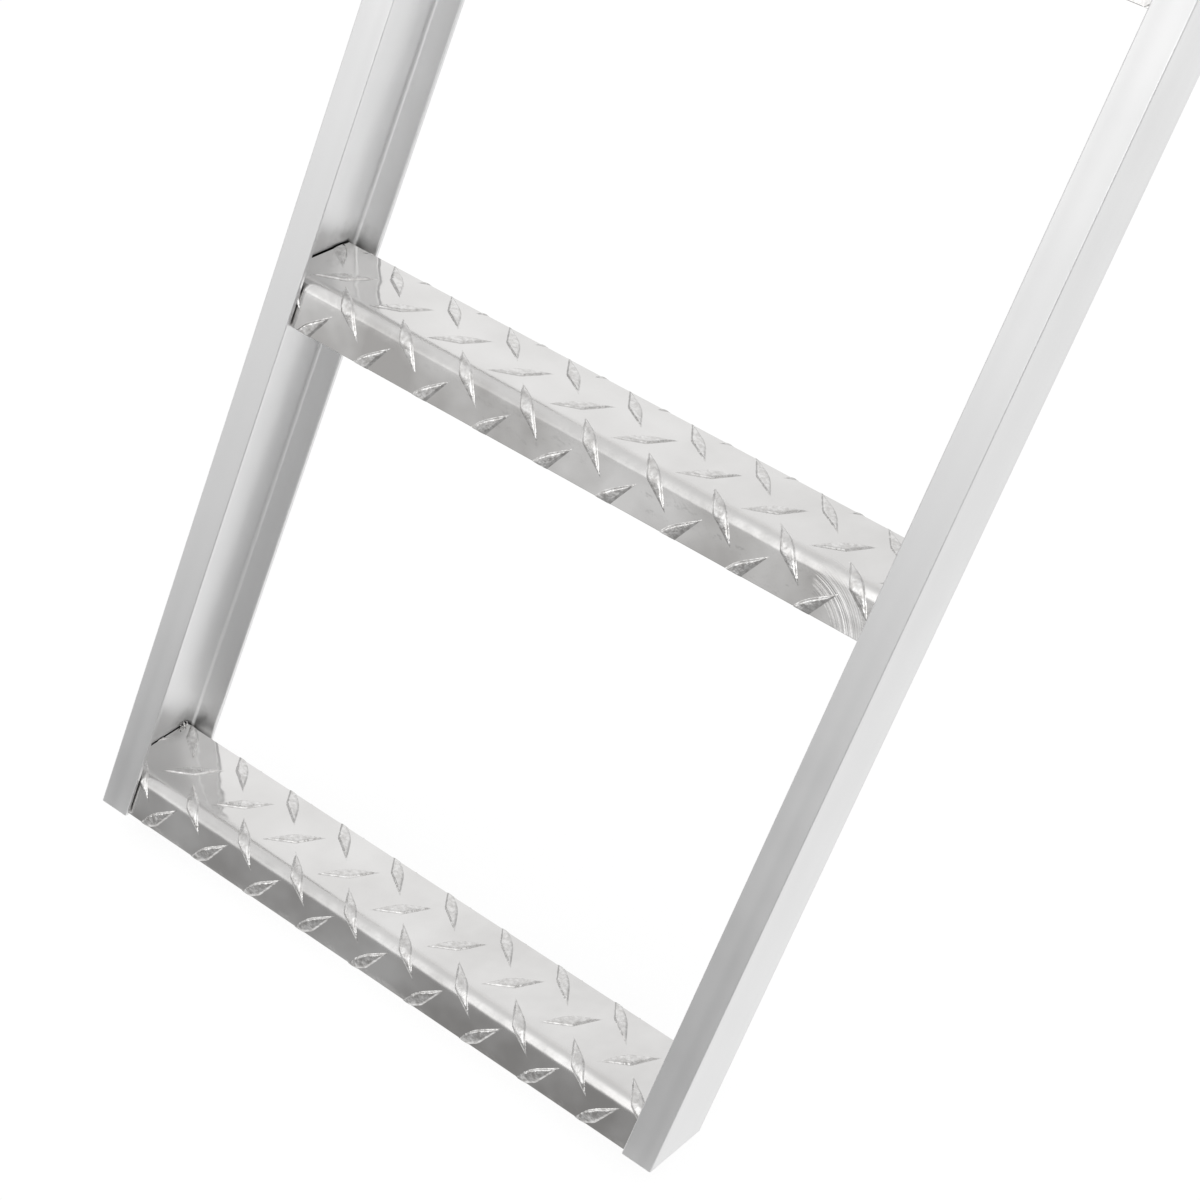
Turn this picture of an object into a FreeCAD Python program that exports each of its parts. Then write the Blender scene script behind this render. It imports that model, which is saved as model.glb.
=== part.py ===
# Boarding ladder for a pontoon boat, welded up from aluminium channel and bent diamond plate.
# It stands as it is used: X runs across the ladder, +Y points to the boat and +Z is up.
# The rails lean back towards the boat by LEAN and the treads are level.
# The origin is the centre of the deck angle's rear face, which is bolted to the edge of the deck.
import FreeCAD, Part
import math
import os

Vector = FreeCAD.Vector

# Ladder as a whole
LADDER_WIDTH = 380.0
TREAD_SPACING = 304.8
TREADS = 5
LEAN = 15.0

# Rail channel
RAIL_DEPTH = 65.0
RAIL_FLANGE = 18.0
RAIL_WALL = 3.0
RAIL_CORNER = 1.0
RAIL_ROOT = 2.0

# The rails' feet stop a little short of the lowest lip at the front and are sawn longer at the rear
FOOT_SHORT = 0.2
FOOT_SLOPE = 4.0

# Tread, a strip of diamond plate bent once so that its lip runs parallel to the rails
PLATE = 3.0
LIP_LENGTH = 26.6
BEND_INSIDE = 5.0
TREAD_END_GAP = 0.8
TREAD_BACK_GAP = 7.0
TREAD_FRONT_GAP = 0.2

# Raised lugs of the diamond plate, in rows that slant to one side and the other in turn
LUG_LENGTH = 34.0
LUG_WIDTH = 7.2
LUG_HEIGHT = 0.9
LUG_SIDE = 0.5
LUG_TIP = 4.6
LUG_SLANT = 48.0
LUG_PITCH = 38.0
LUG_ROW = 21.0
LUG_SEAT = 0.4
LUG_SLIVER = 8.0

# Where the lug pattern starts on tread 1, and how far it has moved on each tread above
LUG_FIRST_ROW = 8.1
LUG_ROW_DRIFT = 4.1
LUG_FIRST_COLUMN = -3.2
LUG_COLUMN_DRIFT = -7.6

# Weld beads under the treads and under the deck angle
BEAD_LEG = 4.5
BEAD_CROWN = 0.6
BEAD_MARGIN = 4.0

# Deck angle and its bolt holes
ANGLE_LEG = 75.0
ANGLE_WALL = 6.0
ANGLE_GAP = 1.5
BOLT_HOLE = 10.5
BOLT_SPACING_X = 250.0
BOLT_SPACING_Z = 38.0

# Directions in the side view: up along the rails, and square to them towards the boat
lean = math.radians(LEAN)
UP_RAIL = Vector(0, math.sin(lean), math.cos(lean))
TO_BOAT = Vector(0, math.cos(lean), -math.sin(lean))
ACROSS = Vector(1, 0, 0)
BACK = Vector(0, 1, 0)
UP = Vector(0, 0, 1)

# The tread's cross-section: a level top, a bend, and a lip straight down along the rails
turn = math.pi / 2 - lean
bend_outside = BEND_INSIDE + PLATE
bend_reach = bend_outside * math.tan(turn / 2)
tread_back = RAIL_DEPTH - RAIL_WALL - TREAD_BACK_GAP
tread_front = RAIL_WALL + TREAD_FRONT_GAP + LUG_HEIGHT
top_depth = (tread_back - tread_front) / math.cos(lean)
top_flat = top_depth - bend_reach
bend_length = bend_outside * turn
strip_width = top_flat + bend_length + LIP_LENGTH - bend_reach
tread_length = LADDER_WIDTH - 2 * (RAIL_WALL + TREAD_END_GAP)

# The rails' level top cut sits under the deck angle's upper leg, its rear edge near the other leg
cut_height = ANGLE_LEG / 2 - ANGLE_WALL
rail_top_rear = Vector(0, -ANGLE_WALL - ANGLE_GAP, cut_height)


def in_rail(depth, height):
    """Point at a depth behind the rails' front face and a height along them from their rear top edge."""
    return rail_top_rear + TO_BOAT * (depth - RAIL_DEPTH) + UP_RAIL * height


def tread_corner(number):
    """Upper rear edge of a tread in the side view, one step under the next; tread 1 is the lowest."""
    step_rise = TREAD_SPACING * math.cos(lean)
    top_tread = (ANGLE_LEG / 2 - step_rise - in_rail(tread_back, 0).z) / UP_RAIL.z
    return in_rail(tread_back, top_tread - (TREADS - number) * TREAD_SPACING)


def on_strip(across, along, height):
    """Point over the bent strip: across the ladder, along the strip from its rear edge, above its face.

    It is taken from the tread's upper rear edge.
    """
    past_top = along - top_flat
    past_bend = past_top - bend_length
    angle = min(max(past_top / bend_outside, 0), turn)
    outward = UP * math.cos(angle) - BACK * math.sin(angle)
    point = outward * (bend_outside + height) - UP * bend_outside - BACK * top_flat
    point -= BACK * min(past_top, 0)
    point -= UP_RAIL * max(past_bend, 0)
    return point + ACROSS * across


def rounded_face(corners):
    """Flat face inside a closed outline of (corner, radius) pairs; a radius of 0 keeps a corner sharp."""
    bends = []
    count = len(corners)
    for index, (corner, radius) in enumerate(corners):
        if radius == 0:
            bends.append((corner, None, corner))
            continue
        to_last = (corners[index - 1][0] - corner).normalize()
        to_next = (corners[(index + 1) % count][0] - corner).normalize()
        half = to_last.getAngle(to_next) / 2
        reach = radius / math.tan(half)
        middle = corner + (to_last + to_next).normalize() * (radius / math.sin(half) - radius)
        bends.append((corner + to_last * reach, middle, corner + to_next * reach))
    edges = []
    for index, (start, middle, end) in enumerate(bends):
        if middle is not None:
            edges.append(Part.Arc(start, middle, end).toShape())
        edges.append(Part.LineSegment(end, bends[(index + 1) % count][0]).toShape())
    return Part.Face(Part.Wire(edges))


def rail(side):
    """Channel with its web outside and its flanges turned in; side is -1 for left and 1 for right."""
    outer = side * LADDER_WIDTH / 2
    inner = side * (LADDER_WIDTH / 2 - RAIL_WALL)
    free = side * (LADDER_WIDTH / 2 - RAIL_FLANGE)
    section = [
        (free, 0, 0),
        (outer, 0, RAIL_CORNER),
        (outer, RAIL_DEPTH, RAIL_CORNER),
        (free, RAIL_DEPTH, 0),
        (free, RAIL_DEPTH - RAIL_WALL, 0),
        (inner, RAIL_DEPTH - RAIL_WALL, RAIL_ROOT),
        (inner, RAIL_WALL, RAIL_ROOT),
        (free, RAIL_WALL, 0),
    ]
    lip_edge = tread_corner(1) + on_strip(0, strip_width, 0)
    foot_front = (lip_edge - rail_top_rear).dot(UP_RAIL) + FOOT_SHORT
    foot_rear = foot_front - RAIL_DEPTH * math.tan(math.radians(FOOT_SLOPE))
    low = min(foot_front, foot_rear) - RAIL_WALL
    past_cut = RAIL_DEPTH * math.tan(lean) + RAIL_WALL
    corners = [(in_rail(depth, low) + ACROSS * x, radius) for x, depth, radius in section]
    bar = rounded_face(corners).extrude(UP_RAIL * (past_cut - low))
    kept = [
        in_rail(0, foot_front),
        in_rail(RAIL_DEPTH, foot_rear),
        rail_top_rear,
        rail_top_rear - BACK * (RAIL_DEPTH / math.cos(lean)),
    ]
    side_view = Part.Face(Part.makePolygon([point + ACROSS * outer for point in kept + kept[:1]]))
    return bar.common(side_view.extrude(ACROSS * (free - outer)))


def strip(low, high):
    """Bent strip between two heights over its outer face, the length of a tread."""
    left = -tread_length / 2
    outline = []
    for height, along_side in ((high, 1), (low, -1)):
        offset_reach = (bend_outside + height) * math.tan(turn / 2)
        bend = on_strip(left, top_flat, height) - BACK * offset_reach
        ends = [(on_strip(left, 0, height), 0), (bend, bend_outside + height)]
        ends.append((on_strip(left, strip_width, height), 0))
        outline += ends[::along_side]
    return rounded_face(outline).extrude(ACROSS * tread_length)


def lug(column, row, slant):
    """One raised lug, a long diamond with a flat top that slopes down to its two tips.

    It is a shell through cross-sections from tip to tip, and it follows the strip round the bend.
    """
    run = math.cos(slant)
    rise = math.sin(slant)
    half = LUG_LENGTH / 2
    shoulder = half - LUG_TIP
    sink = LUG_SEAT / LUG_HEIGHT

    def over_strip(place, sideways, height):
        across = column + place * run - sideways * rise
        return on_strip(across, row + place * rise + sideways * run, height)

    places = [-shoulder, 0, shoulder]
    for share in (0, 0.5, 1):
        crossing = (top_flat + bend_length * share - row) / rise
        if abs(crossing) < shoulder and min(abs(crossing - place) for place in places) > LUG_HEIGHT:
            places.append(crossing)
    sections = []
    for place in sorted(places):
        wide = LUG_WIDTH / 2 * (1 - abs(place) / half)
        low = wide + LUG_SIDE * sink
        high = wide - LUG_SIDE
        sections.append([
            over_strip(place, low, -LUG_SEAT),
            over_strip(place, high, LUG_HEIGHT),
            over_strip(place, -high, LUG_HEIGHT),
            over_strip(place, -low, -LUG_SEAT),
        ])
    reach = half + LUG_TIP * sink
    sections.insert(0, [over_strip(-reach, 0, -LUG_SEAT)] * 4)
    sections.append([over_strip(reach, 0, -LUG_SEAT)] * 4)

    faces = []
    for section, beyond in zip(sections, sections[1:]):
        for side in range(4):
            after = (side + 1) % 4
            for corners in (
                (section[side], beyond[side], beyond[after]),
                (section[side], beyond[after], section[after]),
            ):
                if corners[0] != corners[2] and corners[1] != corners[2]:
                    faces.append(Part.Face(Part.makePolygon(corners + corners[:1])))
    solid = Part.makeSolid(Part.makeShell(faces))
    if solid.Volume < 0:
        solid.reverse()
    return solid


def lugs(number):
    """All the lugs of one tread, with those that its edges cut through cut off square."""
    slant = math.radians(LUG_SLANT)
    reach_across = LUG_LENGTH / 2 * math.cos(slant)
    reach_along = LUG_LENGTH / 2 * math.sin(slant)
    first_row = LUG_FIRST_ROW + (number - 1) * LUG_ROW_DRIFT
    first_column = LUG_FIRST_COLUMN + (number - 1) * LUG_COLUMN_DRIFT
    rows_before = math.ceil((first_row + reach_along) / LUG_ROW)
    rows_after = math.ceil((strip_width - first_row + reach_along) / LUG_ROW)
    columns_aside = math.ceil(tread_length / 2 / LUG_PITCH) + abs(number * LUG_COLUMN_DRIFT) // LUG_PITCH + 1
    whole = []
    cut = []
    for row_number in range(-rows_before, rows_after + 1):
        row = first_row + row_number * LUG_ROW
        odd = row_number % 2 == 1
        shift = 0 if odd else LUG_PITCH / 2
        to_edge = min(row, strip_width - row) + reach_along
        for column_number in range(-int(columns_aside), int(columns_aside) + 1):
            column = first_column + shift + column_number * LUG_PITCH
            to_end = tread_length / 2 - abs(column) + reach_across
            if min(to_edge, to_end) < LUG_SLIVER:
                continue
            one = lug(column, row, -slant if odd else slant)
            inside = to_edge > 2 * reach_along + LUG_TIP and to_end > 2 * reach_across + LUG_TIP
            (whole if inside else cut).append(one)
    trimmed = Part.makeCompound(cut).common(strip(-2 * LUG_SEAT, 2 * LUG_HEIGHT))
    return whole + trimmed.Solids


def tread(number):
    """Bent diamond-plate tread, cut square at both ends."""
    plate = strip(-PLATE, 0)
    patterned = plate.multiFuse(lugs(number)).removeSplitter()
    patterned.translate(tread_corner(number))
    return patterned


def bead(start, end, inward, along_web):
    """Fillet bead from start to end, with one leg on the web and one on the plate."""
    on_plate = start + inward * BEAD_LEG
    on_web = start + along_web * BEAD_LEG
    crown = (on_plate + on_web) * 0.5 + (inward + along_web).normalize() * BEAD_CROWN
    outline = Part.Wire([
        Part.LineSegment(start, on_plate).toShape(),
        Part.Arc(on_plate, crown, on_web).toShape(),
        Part.LineSegment(on_web, start).toShape(),
    ])
    return Part.Face(outline).extrude(end - start)


def tread_weld(number, side):
    """Two beads that hold one end of a tread to the web: under its top and behind its lip."""
    inward = ACROSS * -side
    corner = tread_corner(number) + ACROSS * side * (LADDER_WIDTH / 2 - RAIL_WALL)
    bend_start = top_flat - BEAD_LEG
    bend_end = top_flat + bend_length + BEAD_LEG
    top_bead = bead(
        corner + on_strip(0, BEAD_MARGIN, -PLATE), corner + on_strip(0, bend_start, -PLATE), inward, -UP
    )
    lip_bead = bead(
        corner + on_strip(0, bend_end, -PLATE),
        corner + on_strip(0, strip_width - BEAD_MARGIN, -PLATE),
        inward,
        TO_BOAT,
    )
    return Part.makeCompound([top_bead, lip_bead])


def deck_angle():
    """Angle across the rails' tops, its upper leg on them and its other leg down the deck's edge."""
    left = -LADDER_WIDTH / 2
    top = ANGLE_LEG / 2
    outline = [
        (Vector(left, 0, top), 0),
        (Vector(left, -ANGLE_LEG, top), 0),
        (Vector(left, -ANGLE_LEG, top - ANGLE_WALL), 0),
        (Vector(left, -ANGLE_WALL, top - ANGLE_WALL), 0),
        (Vector(left, -ANGLE_WALL, -top), 0),
        (Vector(left, 0, -top), 0),
    ]
    angle = rounded_face(outline).extrude(ACROSS * LADDER_WIDTH)
    for x in (-BOLT_SPACING_X / 2, BOLT_SPACING_X / 2):
        for z in (-BOLT_SPACING_Z / 2, BOLT_SPACING_Z / 2):
            hole = Part.makeCylinder(BOLT_HOLE / 2, 3 * ANGLE_WALL, Vector(x, -2 * ANGLE_WALL, z), BACK)
            angle = angle.cut(hole)
    return angle


def top_weld(side):
    """Bead under the deck angle's upper leg, along the inside of the rail's web."""
    web = rail_top_rear + ACROSS * side * (LADDER_WIDTH / 2 - RAIL_WALL)
    flange = RAIL_WALL / math.cos(lean) + RAIL_ROOT + BEAD_LEG
    rear = web - BACK * flange
    front = web - BACK * (RAIL_DEPTH / math.cos(lean) - flange)
    return bead(rear, front, ACROSS * -side, -UP)


os.makedirs("parts", exist_ok=True)

for name, side in (("left", -1), ("right", 1)):
    rail(side).exportStep(f"parts/{name}_rail.step")
    top_weld(side).exportStep(f"parts/{name}_top_weld.step")
    for number in range(1, TREADS + 1):
        tread_weld(number, side).exportStep(f"parts/tread_{number}_{name}_weld.step")

for number in range(1, TREADS + 1):
    tread(number).exportStep(f"parts/tread_{number}.step")

deck_angle().exportStep("parts/deck_angle.step")
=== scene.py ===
import math

import bmesh
import bpy
from mathutils import Matrix, Vector


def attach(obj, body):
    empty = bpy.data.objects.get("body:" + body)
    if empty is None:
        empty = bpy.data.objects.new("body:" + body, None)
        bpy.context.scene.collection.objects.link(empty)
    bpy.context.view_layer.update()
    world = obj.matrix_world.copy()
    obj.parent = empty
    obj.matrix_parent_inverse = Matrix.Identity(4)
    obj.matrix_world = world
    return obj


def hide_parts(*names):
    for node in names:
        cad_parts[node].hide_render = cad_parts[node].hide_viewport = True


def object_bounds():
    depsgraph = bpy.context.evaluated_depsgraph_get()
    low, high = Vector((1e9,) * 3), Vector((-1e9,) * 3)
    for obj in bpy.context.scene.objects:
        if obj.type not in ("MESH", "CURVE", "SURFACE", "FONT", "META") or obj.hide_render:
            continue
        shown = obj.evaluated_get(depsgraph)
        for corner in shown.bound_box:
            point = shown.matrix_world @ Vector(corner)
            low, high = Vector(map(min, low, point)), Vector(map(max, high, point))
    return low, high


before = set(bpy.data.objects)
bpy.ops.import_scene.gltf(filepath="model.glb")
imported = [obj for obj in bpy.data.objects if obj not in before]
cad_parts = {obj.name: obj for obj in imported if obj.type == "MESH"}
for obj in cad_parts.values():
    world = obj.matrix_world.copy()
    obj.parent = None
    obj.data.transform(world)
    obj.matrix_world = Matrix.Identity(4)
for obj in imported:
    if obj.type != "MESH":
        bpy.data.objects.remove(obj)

cad_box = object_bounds()


# Side rails
# Two aluminium channels with their webs outside, extruded and left with their mill finish.
# The feet were sawn a little out of square and the tops level, and the edges only deburred.

MM = 0.001
LEAN = math.radians(15)
UP_RAIL = Vector((0, math.sin(LEAN), math.cos(LEAN)))
TO_BOAT = Vector((0, math.cos(LEAN), -math.sin(LEAN)))
ACROSS = Vector((1, 0, 0))
BACK = Vector((0, 1, 0))
UP = Vector((0, 0, 1))

RAIL_OUTSIDE = 190 * MM
RAIL_DEPTH = 65 * MM
RAIL_FLANGE = 18 * MM
RAIL_WALL = 3 * MM
RAIL_CORNER = 1.0 * MM
RAIL_ROOT = 2.0 * MM
FREE_EDGE = 0.8 * MM
SAWN_EDGE = 0.3 * MM
ROUND_STEPS = 4
FOOT_SLOPE = math.radians(4)
TREAD_SPACING = 304.8 * MM
TREADS = 5
TREAD_BACK = 55 * MM
LOWEST_LIP = 40.04 * MM
DECK_LEG_TOP = 37.5 * MM

SOOT_WIDE = 17 * MM
SOOT_HIGH = 13 * MM

# Turns of less than this stay smooth, and sharper ones are edges
SMOOTH_UNDER = math.radians(46)
# Points nearer to a cut than this lie in it
IN_THE_CUT = 1e-7

rail_top_rear = Vector((0, -7.5 * MM, 31.5 * MM))


def in_rail(depth, height):
    """Point at a depth behind the rails' front face, and a height along them from their top."""
    return rail_top_rear + TO_BOAT * (depth - RAIL_DEPTH) + UP_RAIL * height


top_tread_z = DECK_LEG_TOP - TREAD_SPACING * math.cos(LEAN)
top_tread_height = (top_tread_z - in_rail(TREAD_BACK, 0).z) / UP_RAIL.z


def tread_corner(number):
    """Upper rear edge of a tread in the side view; tread 1 is the lowest."""
    return in_rail(TREAD_BACK, top_tread_height - (TREADS - number) * TREAD_SPACING)


def trim(bm, point, outward):
    """Saw a closed mesh off at a plane and close the cut."""
    whole = bm.verts[:] + bm.edges[:] + bm.faces[:]
    cut = bmesh.ops.bisect_plane(
        bm, geom=whole, dist=IN_THE_CUT, plane_co=point, plane_no=outward, clear_outer=True
    )
    edges = [e for e in cut["geom_cut"] if isinstance(e, bmesh.types.BMEdge)]
    return bmesh.ops.holes_fill(bm, edges=edges, sides=0)["faces"]


def finished_object(name, bm, materials, nodes):
    """Turn a mesh into a piece of the ladder that stands for its CAD nodes."""
    mesh = bpy.data.meshes.new(name)
    bmesh.ops.recalc_face_normals(bm, faces=bm.faces)
    bm.to_mesh(mesh)
    bm.free()
    for material in materials:
        mesh.materials.append(material)
    mesh.shade_smooth()
    mesh.set_sharp_from_angle(angle=SMOOTH_UNDER)
    piece = bpy.data.objects.new(name, mesh)
    bpy.context.scene.collection.objects.link(piece)
    weighted = piece.modifiers.new("flat faces stay flat", "WEIGHTED_NORMAL")
    weighted.keep_sharp = True
    weighted.weight = 100
    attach(piece, "root")
    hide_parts(*nodes)


def linear(hex_code):
    """An sRGB hex colour as the linear colour that a shader socket takes."""
    channels = []
    for start in (1, 3, 5):
        value = int(hex_code[start:start + 2], 16) / 255
        channels.append(value / 12.92 if value <= 0.04045 else ((value + 0.055) / 1.055) ** 2.4)
    return (*channels, 1)


def add(tree, kind, inputs=None, **settings):
    """Add a node with its settings, and set or link its inputs."""
    made = tree.nodes.new(kind)
    for name, value in settings.items():
        setattr(made, name, value)
    for key, value in (inputs or {}).items():
        if isinstance(value, bpy.types.NodeSocket):
            tree.links.new(value, made.inputs[key])
        else:
            made.inputs[key].default_value = value
    return made


def new_material(name):
    """An empty material with its output, and the node tree that fills it."""
    material = bpy.data.materials.new(name)
    material.use_nodes = True
    material.node_tree.nodes.clear()
    output = material.node_tree.nodes.new("ShaderNodeOutputMaterial")
    return material, material.node_tree, output


def mill_finish(name, turn, streak, soot_and_shade_at=None):
    """Aluminium as it leaves the extrusion press: satin, with fine die lines along the bar.

    Welding has left a soft grey smudge above each tread's rear corner, and a black joint:
    weld soot with painted shade of the gap beside and behind the tread.
    """
    material, tree, output = new_material(name)
    place = add(tree, "ShaderNodeTexCoord")
    bar = add(tree, "ShaderNodeMapping", {"Vector": place.outputs["Object"], "Rotation": turn})
    # Die lines are about 0.7 mm apart, and each stays much the same for 100 mm along the bar
    die = add(tree, "ShaderNodeVectorMath", {
        0: bar.outputs["Vector"], 1: streak,
    }, operation="MULTIPLY")
    lines = add(tree, "ShaderNodeTexNoise", {
        "Vector": die.outputs["Vector"], "Scale": 1.0, "Detail": 3.0, "Roughness": 0.65,
    })
    # The die also leaves shallow bands, about 7 mm wide
    bands = add(tree, "ShaderNodeTexNoise", {
        "Vector": die.outputs["Vector"], "Scale": 0.1, "Detail": 1.0, "Roughness": 0.4,
    })
    # Handling leaves the satin cloudy, in patches of about 40 mm
    cloud = add(tree, "ShaderNodeTexNoise", {
        "Vector": bar.outputs["Vector"], "Scale": 25.0, "Detail": 5.0, "Roughness": 0.6,
    })
    haze = add(tree, "ShaderNodeMath", {
        0: bands.outputs["Fac"], 1: cloud.outputs["Fac"],
    }, operation="ADD")
    satin = add(tree, "ShaderNodeMapRange", {
        "Value": haze.outputs[0], "From Min": 0.7, "From Max": 1.3, "To Min": 0.34, "To Max": 0.43,
    })
    wave = add(tree, "ShaderNodeBump", {
        "Strength": 1.0, "Distance": 0.12 * MM, "Height": bands.outputs["Fac"],
    })
    relief = add(tree, "ShaderNodeBump", {
        "Strength": 0.2, "Distance": 0.02 * MM, "Height": lines.outputs["Fac"],
        "Normal": wave.outputs["Normal"],
    })
    surface = add(tree, "ShaderNodeBsdfPrincipled", {
        "Base Color": linear("#EFEFEF"), "Metallic": 1.0,
        "Roughness": satin.outputs["Result"], "Normal": relief.outputs["Normal"],
    })
    tree.links.new(surface.outputs["BSDF"], output.inputs["Surface"])
    if soot_and_shade_at is None:
        return material

    # Only the channel's inner faces carry the soot and the painted shade
    parts = add(tree, "ShaderNodeSeparateXYZ", {"Vector": bar.outputs["Vector"]})
    beside = add(tree, "ShaderNodeMath", {0: parts.outputs["X"]}, operation="ABSOLUTE")
    web = add(tree, "ShaderNodeMath", {
        0: beside.outputs[0], 1: RAIL_OUTSIDE - RAIL_WALL + 0.6 * MM,
    }, operation="LESS_THAN")
    middle = in_rail(RAIL_DEPTH / 2, 0).dot(TO_BOAT)
    depth = add(tree, "ShaderNodeMath", {0: parts.outputs["Y"], 1: middle}, operation="SUBTRACT")
    depth = add(tree, "ShaderNodeMath", {0: depth.outputs[0]}, operation="ABSOLUTE")
    flange = add(tree, "ShaderNodeMath", {
        0: depth.outputs[0], 1: RAIL_DEPTH / 2 - RAIL_WALL + 0.7 * MM,
    }, operation="LESS_THAN")
    inside = add(tree, "ShaderNodeMath", {
        0: web.outputs[0], 1: flange.outputs[0],
    }, operation="MULTIPLY")

    # The smudge is a ragged round spot over the tread's rear corner, one at every tread
    behind = add(tree, "ShaderNodeMath", {
        0: parts.outputs["Y"], 1: soot_and_shade_at.dot(TO_BOAT),
    }, operation="SUBTRACT")
    above = add(tree, "ShaderNodeMath", {
        0: parts.outputs["Z"], 1: soot_and_shade_at.dot(UP_RAIL),
    }, operation="SUBTRACT")
    above = add(tree, "ShaderNodeMath", {
        0: above.outputs[0], 1: TREAD_SPACING / 2, 2: -TREAD_SPACING / 2,
    }, operation="WRAP")
    ragged = add(tree, "ShaderNodeTexNoise", {
        "Vector": bar.outputs["Vector"], "Scale": 160.0, "Detail": 3.0,
    })
    wide = add(tree, "ShaderNodeMath", {
        0: behind.outputs[0], 1: 1 / SOOT_WIDE,
    }, operation="MULTIPLY")
    high = add(tree, "ShaderNodeMath", {
        0: above.outputs[0], 1: 1 / SOOT_HIGH,
    }, operation="MULTIPLY")
    spot = add(tree, "ShaderNodeCombineXYZ", {"X": wide.outputs[0], "Y": high.outputs[0]})
    spot = add(tree, "ShaderNodeVectorMath", {0: spot.outputs["Vector"]}, operation="LENGTH")
    spot = add(tree, "ShaderNodeMath", {
        0: ragged.outputs["Fac"], 1: 1.1, 2: spot.outputs["Value"],
    }, operation="MULTIPLY_ADD")
    smudge = add(tree, "ShaderNodeMapRange", {
        "Value": spot.outputs[0], "From Min": 0.5, "From Max": 1.7, "To Min": 0.75, "To Max": 0.0,
    }, interpolation_type="SMOOTHSTEP")

    # The joint is measured from the tread's own level, which is out of square to the rail
    level = add(tree, "ShaderNodeMath", {
        0: behind.outputs[0], 1: -math.tan(LEAN), 2: above.outputs[0],
    }, operation="MULTIPLY_ADD")
    # Behind the tread the soot and painted shade slope down to the weld under its end
    drop = add(tree, "ShaderNodeMath", {0: behind.outputs[0], 1: 0.0}, operation="MAXIMUM")
    level = add(tree, "ShaderNodeMath", {
        0: drop.outputs[0], 1: 0.95, 2: level.outputs[0],
    }, operation="MULTIPLY_ADD")
    reach = add(tree, "ShaderNodeMapRange", {
        "Value": behind.outputs[0], "From Min": -9 * MM, "From Max": 7 * MM,
        "To Min": 0.5 * MM, "To Max": 3.6 * MM,
    }, interpolation_type="SMOOTHSTEP")
    # Painted shade and soot: the joint darkens the gap beside and behind the tread, as if in shadow
    joint_soot_and_shade = add(tree, "ShaderNodeMapRange", {
        "Value": level.outputs[0], "From Min": 0.0, "From Max": reach.outputs["Result"],
        "To Min": 1.0, "To Max": 0.0,
    }, interpolation_type="SMOOTHSTEP")
    under = add(tree, "ShaderNodeMapRange", {
        "Value": level.outputs[0], "From Min": -8 * MM, "From Max": -4 * MM,
        "To Min": 0.0, "To Max": 1.0,
    })
    # The painted shade is blackest in the corner of the web, and paler out on the flange
    fade = add(tree, "ShaderNodeMapRange", {
        "Value": beside.outputs[0], "From Min": 173 * MM, "From Max": 186 * MM,
        "To Min": 0.5, "To Max": 1.0,
    })
    for share in (under, fade, inside):
        joint_soot_and_shade = add(tree, "ShaderNodeMath", {
            0: joint_soot_and_shade.outputs[0], 1: share.outputs[0],
        }, operation="MULTIPLY")
    smudged = add(tree, "ShaderNodeMath", {
        0: smudge.outputs[0], 1: inside.outputs[0],
    }, operation="MULTIPLY")
    tone = add(tree, "ShaderNodeMix", {
        "Factor": smudged.outputs[0], "A": linear("#EFEFEF"), "B": linear("#BDBDBC"),
    }, data_type="RGBA")
    # The joint is painted near-black, shade and soot together
    tone = add(tree, "ShaderNodeMix", {
        "Factor": joint_soot_and_shade.outputs[0], "A": tone.outputs["Result"], "B": linear("#2B2A29"),
    }, data_type="RGBA")
    tree.links.new(tone.outputs["Result"], surface.inputs["Base Color"])
    return material


def sawn_aluminium():
    """Aluminium where the saw went through: matt, with the teeth's marks across the cut."""
    material, tree, output = new_material("sawn_aluminium")
    place = add(tree, "ShaderNodeTexCoord")
    # The marks lie about 0.8 mm apart
    marks = add(tree, "ShaderNodeVectorMath", {
        0: place.outputs["Object"], 1: (60, 1250, 1250),
    }, operation="MULTIPLY")
    marks = add(tree, "ShaderNodeTexNoise", {
        "Vector": marks.outputs["Vector"], "Scale": 1.0, "Detail": 2.0,
    })
    relief = add(tree, "ShaderNodeBump", {
        "Strength": 0.6, "Distance": 0.06 * MM, "Height": marks.outputs["Fac"],
    })
    surface = add(tree, "ShaderNodeBsdfPrincipled", {
        "Base Color": linear("#E6E6E5"), "Metallic": 1.0, "Roughness": 0.42,
        "Normal": relief.outputs["Normal"],
    })
    tree.links.new(surface.outputs["BSDF"], output.inputs["Surface"])
    return material


rail_metal = mill_finish("mill_finish_rails", (LEAN, 0, 0), (1400, 1400, 9), tread_corner(1))
sawn_metal = sawn_aluminium()


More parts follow.
